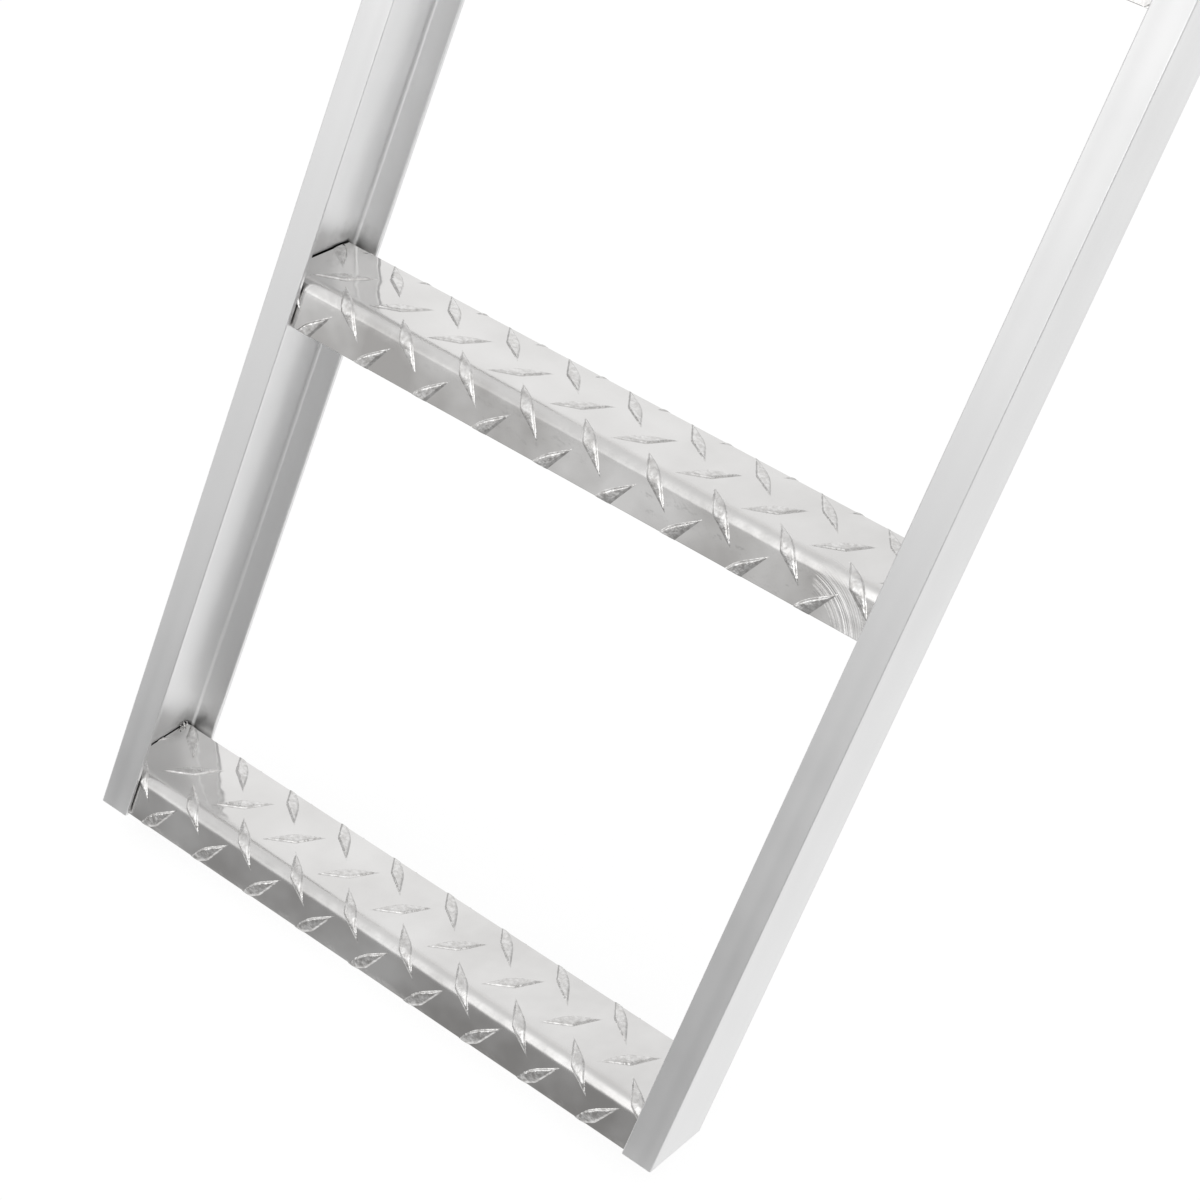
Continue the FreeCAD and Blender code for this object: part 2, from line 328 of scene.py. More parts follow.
def rail(name, side):
    """One channel, drawn as its section and extruded along the rail, then sawn at both ends."""
    web = side * RAIL_OUTSIDE
    root = side * (RAIL_OUTSIDE - RAIL_WALL)
    free = side * (RAIL_OUTSIDE - RAIL_FLANGE)
    outline = [
        (free, 0, FREE_EDGE),
        (web, 0, RAIL_CORNER),
        (web, RAIL_DEPTH, RAIL_CORNER),
        (free, RAIL_DEPTH, FREE_EDGE),
        (free, RAIL_DEPTH - RAIL_WALL, FREE_EDGE),
        (root, RAIL_DEPTH - RAIL_WALL, RAIL_ROOT),
        (root, RAIL_WALL, RAIL_ROOT),
        (free, RAIL_WALL, FREE_EDGE),
    ]
    foot = (tread_corner(1) - in_rail(TREAD_BACK, 0)).dot(UP_RAIL) - LOWEST_LIP
    below = foot - RAIL_DEPTH
    bm = bmesh.new()
    corners = [bm.verts.new(in_rail(depth, below) + ACROSS * x) for x, depth, radius in outline]
    bm.faces.new(corners)
    for size in (FREE_EDGE, RAIL_CORNER, RAIL_ROOT):
        round_these = [v for v, (x, depth, radius) in zip(corners, outline) if radius == size]
        bmesh.ops.bevel(
            bm, geom=round_these, offset=size, segments=ROUND_STEPS, profile=0.5,
            affect="VERTICES", material=-1,
        )
    grown = bmesh.ops.extrude_face_region(bm, geom=bm.faces[:])
    moved = [v for v in grown["geom"] if isinstance(v, bmesh.types.BMVert)]
    bmesh.ops.translate(bm, vec=UP_RAIL * (RAIL_DEPTH - below), verts=moved)
    down = -UP_RAIL * math.cos(FOOT_SLOPE) - TO_BOAT * math.sin(FOOT_SLOPE)
    ends = trim(bm, in_rail(0, foot), down)
    ends += trim(bm, rail_top_rear, UP)
    for face in ends:
        face.material_index = 1
    rims = [edge for edge in bm.edges if any(face in ends for face in edge.link_faces)]
    bmesh.ops.bevel(
        bm, geom=rims, offset=SAWN_EDGE, segments=2, profile=0.5, affect="EDGES", material=-1
    )
    finished_object(f"{name}_channel", bm, [rail_metal, sawn_metal], [name])


rail("left_rail", -1)
rail("right_rail", 1)


# Treads
# Five strips of rolled aluminium diamond plate, 3 mm thick, sheared from one sheet.
# Each was bent once in a brake, so that its lip hangs parallel to the rails behind their flanges.

PLATE = 3 * MM
TREAD_LENGTH = 372.4 * MM
BEND_INSIDE = 5 * MM
LIP_LENGTH = 26.6 * MM
TREAD_FRONT = 4.1 * MM
SHEARED_EDGE = 0.4 * MM
BEND_STEPS = 12
SET_ASIDE = {1: -0.35 * MM, 2: 0.3 * MM, 3: 0.1 * MM, 4: -0.2 * MM, 5: 0.2 * MM}

LUG_LENGTH = 34 * MM
LUG_WIDTH = 7.4 * MM
LUG_HEIGHT = 0.9 * MM
LUG_SLANT = math.radians(48)
LUG_PITCH = 38 * MM
LUG_ROW = 21.0 * MM
LUG_SEAT = 0.5 * MM
LUG_TIP = 5.5 * MM
LUG_FOOT = 0.5 * MM
LUG_SHARP_KINK = 0.8 * MM
LUG_SOFT_KINK = 4.5 * MM
# Steps from the fillet to the flat top: how far each goes in, and its share of the height
LUG_STEPS = ((LUG_FOOT, 0.1), (0.34 * MM, 0.64), (0.4 * MM, 0.88), (0.8 * MM, 1.0))
LUG_FIRST_ROW = 8.1 * MM
LUG_ROW_DRIFT = 4.1 * MM
LUG_FIRST_COLUMN = -3.2 * MM
LUG_COLUMN_DRIFT = -7.6 * MM
PRESSED_BY_SHEAR = 2 * MM
INSIDE_THE_SHEET = 0.05 * MM

GROUND_TREAD = 2
GRIND_AT = (132 * MM, 94 * MM)
GRIND_RADIUS = 39 * MM

bend_turn = math.pi / 2 - LEAN
bend_outside = BEND_INSIDE + PLATE
bend_reach = bend_outside * math.tan(bend_turn / 2)
top_flat = (TREAD_BACK - TREAD_FRONT) / math.cos(LEAN) - bend_reach
bend_length = bend_outside * bend_turn
strip_width = top_flat + bend_length + LIP_LENGTH - bend_reach


def on_strip(across, along, height):
    """Point over the bent strip, from its upper rear edge: across, along it and above its face."""
    past_top = along - top_flat
    angle = min(max(past_top / bend_outside, 0), bend_turn)
    outward = UP * math.cos(angle) - BACK * math.sin(angle)
    point = outward * (bend_outside + height) - UP * bend_outside - BACK * top_flat
    point -= BACK * min(past_top, 0)
    point -= UP_RAIL * max(past_top - bend_length, 0)
    return point + ACROSS * across


def diamond_plate(name, on_lugs):
    """Bright rolled plate, nearly a mirror, that turns satin where the brake has stretched it.

    The lugs' tops are mottled, because they filled the roll's engraving without its polish.
    """
    material, tree, output = new_material(name)
    sheet = add(tree, "ShaderNodeAttribute", attribute_name="flat_sheet", attribute_type="GEOMETRY")
    flat = sheet.outputs["Vector"]
    # Rolling grain runs along the sheet, its lines about 0.5 mm apart
    grain = add(tree, "ShaderNodeVectorMath", {0: flat, 1: (50, 1900, 300)}, operation="MULTIPLY")
    grain = add(tree, "ShaderNodeTexNoise", {
        "Vector": grain.outputs["Vector"], "Scale": 1.0, "Detail": 3.0, "Roughness": 0.6,
    })
    # The plate bellies a little between the lugs, about 22 mm apart, and a lug's top every 4 mm
    belly = add(tree, "ShaderNodeTexNoise", {
        "Vector": flat, "Scale": 250.0 if on_lugs else 45.0, "Detail": 2.0, "Roughness": 0.5,
    })
    mottle = add(tree, "ShaderNodeTexNoise", {
        "Vector": flat, "Scale": 650.0 if on_lugs else 90.0, "Detail": 4.0, "Roughness": 0.6,
    })
    gloss = add(tree, "ShaderNodeMapRange", {
        "Value": mottle.outputs["Fac"], "From Min": 0.3, "From Max": 0.7,
        "To Min": 0.10 if on_lugs else 0.05, "To Max": 0.24 if on_lugs else 0.10,
    })
    parts = add(tree, "ShaderNodeSeparateXYZ", {"Vector": flat})
    to_bend = add(tree, "ShaderNodeMath", {
        0: parts.outputs["Y"], 1: top_flat + bend_length / 2,
    }, operation="SUBTRACT")
    to_bend = add(tree, "ShaderNodeMath", {0: to_bend.outputs[0]}, operation="ABSOLUTE")
    stretched = add(tree, "ShaderNodeMapRange", {
        "Value": to_bend.outputs[0], "From Min": bend_length * 0.4, "From Max": bend_length * 0.85,
        "To Min": 0.16, "To Max": 0.0,
    }, interpolation_type="SMOOTHSTEP")
    gloss = add(tree, "ShaderNodeMath", {
        0: gloss.outputs["Result"], 1: stretched.outputs["Result"],
    }, operation="ADD")
    soft = add(tree, "ShaderNodeBump", {
        "Strength": 0.9, "Distance": 0.6 * MM if on_lugs else 0.5 * MM,
        "Height": belly.outputs["Fac"],
    })
    # The brake's die pressed small dents into the lip, about 8 mm across
    dents = add(tree, "ShaderNodeTexNoise", {
        "Vector": flat, "Scale": 120.0, "Detail": 3.0, "Roughness": 0.6,
    })
    pressed = add(tree, "ShaderNodeMapRange", {
        "Value": parts.outputs["Y"], "From Min": top_flat, "From Max": top_flat + bend_length,
        "To Min": 0.0, "To Max": 1.0,
    })
    soft = add(tree, "ShaderNodeBump", {
        "Strength": pressed.outputs["Result"], "Distance": 0.13 * MM,
        "Height": dents.outputs["Fac"], "Normal": soft.outputs["Normal"],
    })
    fine = add(tree, "ShaderNodeBump", {
        "Strength": 0.25 if on_lugs else 0.1, "Distance": 0.05 * MM if on_lugs else 0.015 * MM,
        "Height": mottle.outputs["Fac"] if on_lugs else grain.outputs["Fac"],
        "Normal": soft.outputs["Normal"],
    })
    # Handling has dulled it in faint clouds, 50 mm across on the plate, 2.5 mm on the lugs;
    # the clouds are darker towards the lip
    clouds = add(tree, "ShaderNodeTexNoise", {
        "Vector": flat, "Scale": 400.0 if on_lugs else 20.0, "Detail": 3.0, "Roughness": 0.5,
    })
    on_lip = add(tree, "ShaderNodeMapRange", {
        "Value": parts.outputs["Y"],
        "From Min": top_flat + bend_length / 2, "From Max": top_flat + bend_length,
        "To Min": 0.6 if on_lugs else 0.25, "To Max": 1.0,
    })
    tone = add(tree, "ShaderNodeMapRange", {
        "Value": clouds.outputs["Fac"], "From Min": 0.35, "From Max": 0.65, "To Min": 0.0,
        "To Max": on_lip.outputs["Result"],
    })
    tone = add(tree, "ShaderNodeMix", {
        "Factor": tone.outputs["Result"], "A": linear("#F4F3F2"), "B": linear("#CAC8C6"),
    }, data_type="RGBA")
    surface = add(tree, "ShaderNodeBsdfPrincipled", {
        "Base Color": tone.outputs["Result"], "Metallic": 1.0,
        "Roughness": gloss.outputs[0], "Normal": fine.outputs["Normal"],
    })
    tree.links.new(surface.outputs["BSDF"], output.inputs["Surface"])
    if on_lugs:
        return material

    # A grinding disc touched the second tread's lip beside the right rail, in arcs 2 mm apart
    arc = add(tree, "ShaderNodeVectorMath", {
        0: flat, 1: (GRIND_AT[0] + GROUND_TREAD * TREAD_LENGTH, GRIND_AT[1], 0),
    }, operation="SUBTRACT")
    far = add(tree, "ShaderNodeVectorMath", {0: arc.outputs["Vector"]}, operation="LENGTH")
    off = add(tree, "ShaderNodeMath", {
        0: far.outputs["Value"], 1: GRIND_RADIUS,
    }, operation="SUBTRACT")
    off = add(tree, "ShaderNodeMath", {0: off.outputs[0]}, operation="ABSOLUTE")
    band = add(tree, "ShaderNodeMapRange", {
        "Value": off.outputs[0], "From Min": 5 * MM, "From Max": 11 * MM,
        "To Min": 1.0, "To Max": 0.0,
    }, interpolation_type="SMOOTHSTEP")
    aside = add(tree, "ShaderNodeSeparateXYZ", {"Vector": arc.outputs["Vector"]})
    edge = add(tree, "ShaderNodeMapRange", {
        "Value": aside.outputs["X"], "From Min": 6 * MM, "From Max": 12 * MM,
        "To Min": 0.0, "To Max": 1.0,
    }, interpolation_type="SMOOTHSTEP")
    ground = add(tree, "ShaderNodeMath", {
        0: band.outputs[0], 1: edge.outputs[0],
    }, operation="MULTIPLY")
    swirl = add(tree, "ShaderNodeMath", {0: far.outputs["Value"], 1: 480.0}, operation="MULTIPLY")
    swirl = add(tree, "ShaderNodeCombineXYZ", {"X": swirl.outputs[0]})
    swirl = add(tree, "ShaderNodeTexNoise", {
        "Vector": swirl.outputs["Vector"], "Scale": 1.0, "Detail": 3.0, "Roughness": 0.7,
    })
    rough = add(tree, "ShaderNodeMath", {
        0: ground.outputs[0], 1: 0.22, 2: gloss.outputs[0],
    }, operation="MULTIPLY_ADD")
    tree.links.new(rough.outputs[0], surface.inputs["Roughness"])
    cut = add(tree, "ShaderNodeBump", {
        "Strength": ground.outputs[0], "Distance": 0.45 * MM, "Height": swirl.outputs["Fac"],
        "Normal": fine.outputs["Normal"],
    })
    tree.links.new(cut.outputs["Normal"], surface.inputs["Normal"])
    return material


plate_metal = diamond_plate("rolled_diamond_plate", on_lugs=False)
lug_metal = diamond_plate("diamond_plate_lugs", on_lugs=True)


def lug_shape():
    """One lug, lying along X: a pointed lens with a sharp kink in one side and a soft one opposite.

    A shallow fillet leads into its steep sides, which round over to a flat top with a sloping facet
    at each tip.
    """
    half = LUG_LENGTH / 2
    bm = bmesh.new()
    # The fillet widens the outline
    places = (
        (-half - 2 * MM, 0), (0, -LUG_WIDTH / 2 - LUG_FOOT),
        (half + 2 * MM, 0), (0, LUG_WIDTH / 2 + LUG_FOOT),
    )
    corners = [bm.verts.new((x, y, -LUG_SEAT)) for x, y in places]
    bm.faces.new(corners)
    bmesh.ops.bevel(
        bm, geom=[corners[1]], offset=LUG_SOFT_KINK, segments=2, profile=0.5,
        affect="VERTICES", material=-1,
    )
    kink = max(bm.verts, key=lambda v: v.co.y)
    bmesh.ops.bevel(
        bm, geom=[kink], offset=LUG_SHARP_KINK, segments=1, profile=0.5,
        affect="VERTICES", material=-1,
    )
    grown = bmesh.ops.extrude_face_region(bm, geom=bm.faces[:])
    top = [f for f in grown["geom"] if isinstance(f, bmesh.types.BMFace)]
    bmesh.ops.recalc_face_normals(bm, faces=bm.faces)
    bmesh.ops.translate(bm, vec=(0, 0, LUG_SEAT - 0.03 * MM), verts=top[0].verts)
    for thickness, share in LUG_STEPS:
        depth = LUG_HEIGHT * share - top[0].verts[0].co.z
        bmesh.ops.inset_individual(bm, faces=top, thickness=thickness, use_even_offset=True)
        bmesh.ops.translate(bm, vec=(0, 0, depth), verts=top[0].verts)
    for end in (-1, 1):
        whole = bm.verts[:] + bm.edges[:] + bm.faces[:]
        bmesh.ops.bisect_plane(
            bm, geom=whole, dist=IN_THE_CUT,
            plane_co=(end * (half - LUG_TIP), 0, 0), plane_no=(end, 0, 0),
        )
    for v in bm.verts:
        past = max(abs(v.co.x) - (half - LUG_TIP), 0) / LUG_TIP
        if v.co.z > 0:
            v.co.z = min(v.co.z, LUG_HEIGHT * (1 - 0.8 * past))
    mesh = bpy.data.meshes.new("lug")
    bm.to_mesh(mesh)
    bm.free()
    return mesh


one_lug = lug_shape()


def tread(number):
    """Lay the lugs out on the flat sheet, shear it, then bend it and set it in its place."""
    lugs = bmesh.new()
    first_row = LUG_FIRST_ROW + (number - 1) * LUG_ROW_DRIFT
    first_column = LUG_FIRST_COLUMN + (number - 1) * LUG_COLUMN_DRIFT
    reach = LUG_LENGTH / 2
    for row_number in range(-3, 6):
        row = first_row + row_number * LUG_ROW
        if not -reach < row < strip_width + reach:
            continue
        odd = row_number % 2 == 1
        shift = 0 if odd else LUG_PITCH / 2
        for column_number in range(-8, 10):
            column = first_column + shift + column_number * LUG_PITCH
            if abs(column) > TREAD_LENGTH / 2 + reach:
                continue
            known = len(lugs.verts)
            lugs.from_mesh(one_lug)
            lugs.verts.ensure_lookup_table()
            turned = Matrix.Rotation(-LUG_SLANT if odd else LUG_SLANT, 4, "Z")
            bmesh.ops.transform(
                lugs, matrix=Matrix.Translation((column, row, 0)) @ turned, verts=lugs.verts[known:]
            )
    for point, outward in (
        ((TREAD_LENGTH / 2 - INSIDE_THE_SHEET, 0, 0), (1, 0, 0)),
        ((INSIDE_THE_SHEET - TREAD_LENGTH / 2, 0, 0), (-1, 0, 0)),
        ((0, INSIDE_THE_SHEET, 0), (0, -1, 0)),
        ((0, strip_width - INSIDE_THE_SHEET, 0), (0, 1, 0)),
    ):
        trim(lugs, point, outward)
    for face in lugs.faces:
        face.material_index = 1
    # The shear pressed down what it cut through
    for v in lugs.verts:
        from_edge = min(v.co.y, strip_width - v.co.y, TREAD_LENGTH / 2 - abs(v.co.x))
        if v.co.z > 0:
            v.co.z *= 0.35 + 0.65 * min(max(from_edge / PRESSED_BY_SHEAR, 0), 1)
    lugs_mesh = bpy.data.meshes.new("lugs")
    lugs.to_mesh(lugs_mesh)
    lugs.free()

    sheet = bmesh.new()
    bmesh.ops.create_cube(sheet, size=1)
    bmesh.ops.scale(sheet, vec=(TREAD_LENGTH, strip_width, PLATE), verts=sheet.verts)
    bmesh.ops.translate(sheet, vec=(0, strip_width / 2, -PLATE / 2), verts=sheet.verts)
    rim = [e for e in sheet.edges if all(v.co.z > -PLATE / 2 for v in e.verts)]
    bmesh.ops.bevel(
        sheet, geom=rim, offset=SHEARED_EDGE, segments=3, profile=0.5, affect="EDGES", material=-1
    )
    sheet.from_mesh(lugs_mesh)
    bpy.data.meshes.remove(lugs_mesh)
    for step in range(BEND_STEPS + 1):
        fold = top_flat + bend_length * step / BEND_STEPS
        whole = sheet.verts[:] + sheet.edges[:] + sheet.faces[:]
        bmesh.ops.bisect_plane(
            sheet, geom=whole, dist=IN_THE_CUT, plane_co=(0, fold, 0), plane_no=(0, 1, 0)
        )
    flat_sheet = sheet.verts.layers.float_vector.new("flat_sheet")
    corner = tread_corner(number) + ACROSS * SET_ASIDE[number]
    # The rolled grain and the cloudiness follow the sheet round its bend, and differ on every tread
    along_the_roll = ACROSS * number * TREAD_LENGTH
    for v in sheet.verts:
        v[flat_sheet] = v.co + along_the_roll
        v.co = corner + on_strip(*v.co)
    finished_object(
        f"tread_{number}_diamond_plate", sheet, [plate_metal, lug_metal],
        [f"tread_{number}"],
    )


for number in range(1, TREADS + 1):
    tread(number)


# Tread welds
# A fillet bead under each end of a tread and one behind its lip, laid with a hand-held torch.
# Each dab of filler froze before the next, so the beads are rippled, and they were not ground.

BEAD_LEG = 4.5 * MM
BEAD_CROWN = 0.6 * MM
BEAD_MARGIN = 4 * MM
RIPPLE = 2.2 * MM
FIRST_DAB = 0.7
LAST_DAB = 0.6
# A ripple rises, runs level and sinks: how far each takes it on, and the bead's size there
RIPPLE_STEPS = ((0.3, 1.0), (0.4, 0.98), (0.3, 0.84))

BURR_THICKNESS = 0.7 * MM
BURR_RADIUS = 1.3 * MM
BURR_STEPS = 22
BURR_TURN = math.radians(42)
BURR_ADVANCE = 0.26 * MM
BURR_FROM_END = 0.8 * MM


def weld_bead_metal():
    """Filler as it froze: grey-white, with a dull skin that is grainy every 1 mm."""
    material, tree, output = new_material("welded_bead")
    place = add(tree, "ShaderNodeTexCoord")
    skin = add(tree, "ShaderNodeTexNoise", {
        "Vector": place.outputs["Object"], "Scale": 900.0, "Detail": 3.0, "Roughness": 0.6,
    })
    dull = add(tree, "ShaderNodeMapRange", {
        "Value": skin.outputs["Fac"], "From Min": 0.3, "From Max": 0.7,
        "To Min": 0.34, "To Max": 0.5,
    })
    relief = add(tree, "ShaderNodeBump", {
        "Strength": 0.4, "Distance": 0.1 * MM, "Height": skin.outputs["Fac"],
    })
    surface = add(tree, "ShaderNodeBsdfPrincipled", {
        "Base Color": linear("#D9D7D4"), "Metallic": 1.0,
        "Roughness": dull.outputs["Result"], "Normal": relief.outputs["Normal"],
    })
    tree.links.new(surface.outputs["BSDF"], output.inputs["Surface"])
    return material


def scorched_burr():
    """A burr blackened by the torch, with bright patches in a fine noise."""
    material, tree, output = new_material("scorched_burr")
    place = add(tree, "ShaderNodeTexCoord")
    bright_patches = add(tree, "ShaderNodeTexNoise", {
        "Vector": place.outputs["Object"], "Scale": 900.0, "Detail": 2.0,
    })
    bright_patches = add(tree, "ShaderNodeMapRange", {
        "Value": bright_patches.outputs["Fac"], "From Min": 0.42, "From Max": 0.55,
        "To Min": 0.0, "To Max": 1.0,
    })
    tone = add(tree, "ShaderNodeMix", {
        "Factor": bright_patches.outputs["Result"], "A": linear("#2E2D2C"), "B": linear("#EDECEA"),
    }, data_type="RGBA")
    surface = add(tree, "ShaderNodeBsdfPrincipled", {
        "Base Color": tone.outputs["Result"], "Metallic": 1.0, "Roughness": 0.3,
    })
    tree.links.new(surface.outputs["BSDF"], output.inputs["Surface"])
    return material


weld_metal = weld_bead_metal()
burr_metal = scorched_burr()


def lay_bead(bm, start, end, inward, along_web):
    """Push a rounded triangle along the joint, swelling and shrinking it once for each ripple."""
    travel = end - start
    ripples = max(2, round(travel.length / RIPPLE))
    section = [Vector((0, 0, 0)), inward * BEAD_LEG]
    for share in (0.25, 0.5, 0.75):
        swell = BEAD_CROWN * math.sin(math.pi * share)
        chord = inward * BEAD_LEG * (1 - share) + along_web * BEAD_LEG * share
        section.append(chord + (inward + along_web).normalized() * swell)
    section.append(along_web * BEAD_LEG)
    face = bm.faces.new([bm.verts.new(start + point * FIRST_DAB) for point in section])
    size = FIRST_DAB
    done = 0
    for ripple in range(ripples):
        for step, (advance, wanted) in enumerate(RIPPLE_STEPS, 1):
            if ripple == ripples - 1 and step == len(RIPPLE_STEPS):
                wanted = LAST_DAB
            grown = bmesh.ops.extrude_face_region(bm, geom=[face])
            front = [v for v in grown["geom"] if isinstance(v, bmesh.types.BMVert)]
            face = [f for f in grown["geom"] if isinstance(f, bmesh.types.BMFace)][0]
            root = start + travel * done
            bmesh.ops.scale(
                bm, vec=[wanted / size] * 3, space=Matrix.Translation(-root), verts=front
            )
            bmesh.ops.translate(bm, vec=travel * (advance / ripples), verts=front)
            done += advance / ripples
            size = wanted


def curl_burr(bm, corner):
    """A curl of metal, torn up at the end of the lowest tread and left there."""
    axis = corner + UP * BURR_RADIUS - BACK * 0.5 * MM
    foot = axis - UP * BURR_RADIUS
    before = len(bm.faces)
    made = bmesh.ops.create_circle(bm, cap_ends=True, segments=6, radius=BURR_THICKNESS / 2)
    bmesh.ops.translate(bm, vec=foot, verts=made["verts"])
    face = made["verts"][0].link_faces[0]
    bmesh.ops.rotate(bm, verts=face.verts, cent=foot, matrix=Matrix.Rotation(math.pi / 2, 3, "Y"))
    for step in range(BURR_STEPS):
        grown = bmesh.ops.extrude_face_region(bm, geom=[face])
        front = [v for v in grown["geom"] if isinstance(v, bmesh.types.BMVert)]
        face = [f for f in grown["geom"] if isinstance(f, bmesh.types.BMFace)][0]
        bmesh.ops.rotate(bm, verts=front, cent=axis, matrix=Matrix.Rotation(BURR_TURN, 3, "Y"))
        bmesh.ops.translate(bm, vec=-BACK * BURR_ADVANCE, verts=front)
        axis = axis - BACK * BURR_ADVANCE
    for burr_face in list(bm.faces)[before:]:
        burr_face.material_index = 1


for number in range(1, TREADS + 1):
    for word, side in (("left", -1), ("right", 1)):
        web = tread_corner(number) + ACROSS * side * (RAIL_OUTSIDE - RAIL_WALL)
        beads = bmesh.new()
        lay_bead(
            beads,
            web + on_strip(0, BEAD_MARGIN, -PLATE),
            web + on_strip(0, top_flat - BEAD_LEG, -PLATE),
            ACROSS * -side,
            -UP,
        )
        lay_bead(
            beads,
            web + on_strip(0, top_flat + bend_length + BEAD_LEG, -PLATE),
            web + on_strip(0, strip_width - BEAD_MARGIN, -PLATE),
            ACROSS * -side,
            TO_BOAT,
        )
        metals = [weld_metal]
        if number == 1 and side == -1:
            end = SET_ASIDE[number] - TREAD_LENGTH / 2
            curl_burr(beads, tread_corner(number) + ACROSS * (end + BURR_FROM_END))
            metals.append(burr_metal)
        node = f"tread_{number}_{word}_weld"
        finished_object(f"{node}_beads", beads, metals, [node])


# Deck angle
# One aluminium angle across the rails' tops, sawn to the ladder's width, drilled for four bolts.
# Its upper leg lies on the rails and is welded to their webs, and its other leg hangs down behind.

ANGLE_EDGE = 0.5 * MM
SAME_POINT = 1e-5
SAME_PLANE = math.radians(1)
CRISP_OVER = math.radians(50)

angle = bmesh.new()
angle.from_mesh(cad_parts["deck_angle"].data)
bmesh.ops.remove_doubles(angle, verts=angle.verts, dist=SAME_POINT)
bmesh.ops.dissolve_limit(
    angle, angle_limit=SAME_PLANE, verts=angle.verts, edges=angle.edges,
    use_dissolve_boundaries=False,
)
crisp = [e for e in angle.edges if len(e.link_faces) == 2 and e.calc_face_angle() > CRISP_OVER]
bmesh.ops.bevel(
    angle, geom=crisp, offset=ANGLE_EDGE, segments=2, profile=0.5, affect="EDGES",
    clamp_overlap=True, material=-1,
)
finished_object(
    "deck_angle_bar", angle, [mill_finish("mill_finish_angle", (0, 0, 0), (9, 1400, 1400))],
    ["deck_angle"],
)

for word, side in (("left", -1), ("right", 1)):
    web = rail_top_rear + ACROSS * side * (RAIL_OUTSIDE - RAIL_WALL)
    margin = RAIL_WALL / math.cos(LEAN) + RAIL_ROOT + BEAD_LEG
    beads = bmesh.new()
    lay_bead(
        beads,
        web - BACK * margin,
        web - BACK * (RAIL_DEPTH / math.cos(LEAN) - margin),
        ACROSS * -side,
        -UP,
    )
    finished_object(f"{word}_top_weld_bead", beads, [weld_metal], [f"{word}_top_weld"])


# Studio
# A plain pale floor under the ladder's feet, wide enough to be the whole background.
# Soft light comes from the room all round, brightest from the front right and from behind.

FLOOR_SIZE = 15
FLOOR_FRONT = -4.0
FLOOR_BACK = 2.0
# How bright the floor's painted light and shade show in the metal, by its Y:
# the first two stand at the ramp's ends
FLOOR_PAINTED_LIGHT = (
    (FLOOR_FRONT, 0.35), (FLOOR_BACK, 0.66),
    (-0.9, 0.36), (-0.53, 0.35), (-0.47, 0.96), (0.4, 0.92),
)

floor = bmesh.new()
bmesh.ops.create_grid(floor, x_segments=1, y_segments=1, size=FLOOR_SIZE)
bmesh.ops.translate(floor, vec=(0, 0, cad_box[0][2]), verts=floor.verts)
floor_mesh = bpy.data.meshes.new("studio_floor")
floor.to_mesh(floor_mesh)
floor.free()
studio_floor = bpy.data.objects.new("studio_floor", floor_mesh)
bpy.context.scene.collection.objects.link(studio_floor)

# Pale paper, white to the camera but for the ladder's shadow. In the metal it shows a painted
# reflection: it glows white from under the ladder backwards, and is painted greyer in front.
paper, tree, output = new_material("pale_paper_floor")
rays = add(tree, "ShaderNodeLightPath")
place = add(tree, "ShaderNodeTexCoord")
spread = add(tree, "ShaderNodeSeparateXYZ", {"Vector": place.outputs["Object"]})
reach = add(tree, "ShaderNodeMapRange", {
    "Value": spread.outputs["Y"], "From Min": FLOOR_FRONT, "From Max": FLOOR_BACK,
    "To Min": 0.0, "To Max": 1.0,
})
painted_floor_light = add(tree, "ShaderNodeValToRGB", {"Fac": reach.outputs["Result"]})
stops = painted_floor_light.color_ramp.elements
for stop, (y, value) in zip(
    [stops[0], stops[1]] + [stops.new(0.5) for tone in FLOOR_PAINTED_LIGHT[2:]], FLOOR_PAINTED_LIGHT
):
    stop.position = (y - FLOOR_FRONT) / (FLOOR_BACK - FLOOR_FRONT)
    stop.color = (value, value, value, 1)
# In front the painted glow grows brighter towards the left
aside = add(tree, "ShaderNodeMapRange", {
    "Value": spread.outputs["X"], "From Min": -0.7, "From Max": -0.25, "To Min": 0.8, "To Max": 0.0,
})
in_front = add(tree, "ShaderNodeMapRange", {
    "Value": spread.outputs["Y"], "From Min": -0.53, "From Max": -0.47,
    "To Min": 1.0, "To Max": 0.0,
})
painted_glow = add(tree, "ShaderNodeMath", {
    0: aside.outputs["Result"], 1: in_front.outputs["Result"], 2: 1.0,
}, operation="MULTIPLY_ADD")
# Painted light: for glossy rays the floor glows, though it is no lamp
painted_reflection = add(tree, "ShaderNodeEmission", {
    "Color": painted_floor_light.outputs["Color"], "Strength": painted_glow.outputs[0],
})
matt = add(tree, "ShaderNodeBsdfDiffuse", {"Color": linear("#7C7C7C")})
white = add(tree, "ShaderNodeEmission", {"Color": (1, 1, 1, 1), "Strength": 0.86})
seen = add(tree, "ShaderNodeAddShader", {0: matt.outputs["BSDF"], 1: white.outputs["Emission"]})
lit = add(tree, "ShaderNodeBsdfDiffuse", {"Color": linear("#E8E8E8")})
shown = add(tree, "ShaderNodeMixShader", {
    0: rays.outputs["Is Camera Ray"], 1: lit.outputs["BSDF"], 2: seen.outputs["Shader"],
})
final = add(tree, "ShaderNodeMixShader", {
    0: rays.outputs["Is Glossy Ray"], 1: shown.outputs["Shader"], 2: painted_reflection.outputs["Emission"],
})
tree.links.new(final.outputs["Shader"], output.inputs["Surface"])
floor_mesh.materials.append(paper)

world = bpy.data.worlds.new("soft_room")
bpy.context.scene.world = world
world.use_nodes = True
tree = world.node_tree
tree.nodes.clear()
rays = add(tree, "ShaderNodeLightPath")
direction = add(tree, "ShaderNodeTexCoord")
way = add(tree, "ShaderNodeSeparateXYZ", {"Vector": direction.outputs["Generated"]})

